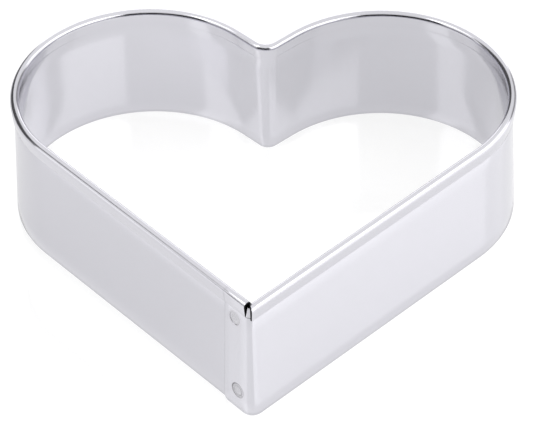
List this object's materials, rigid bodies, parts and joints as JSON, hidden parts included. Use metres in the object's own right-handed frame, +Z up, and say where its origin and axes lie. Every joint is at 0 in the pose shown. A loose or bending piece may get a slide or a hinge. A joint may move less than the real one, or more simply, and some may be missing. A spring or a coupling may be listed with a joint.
{
  "type": "cookie cutter",
  "caption": "Heart-shaped cookie cutter bent from a steel strip, with a rolled rim on top, a plain cutting edge below and a spot-welded lap at the tip.",
  "frame": {"origin": "middle of the heart's footprint, on the surface that the cutting edge stands on", "axes": "+X across both lobes, +Y from the tip to the cleft, +Z up from the cutting edge to the rolled rim"},
  "size_m": [0.092, 0.0828, 0.025],
  "materials": {
    "strip_steel": "bright rolled sheet, grain along the strip",
    "weld_steel": "pressed electrode dent, slightly duller than the sheet"
  },
  "bodies": {
    "root": {"heart_strip": "strip_steel", "upper_spot_weld": "weld_steel", "lower_spot_weld": "weld_steel"}
  },
  "joints": []
}
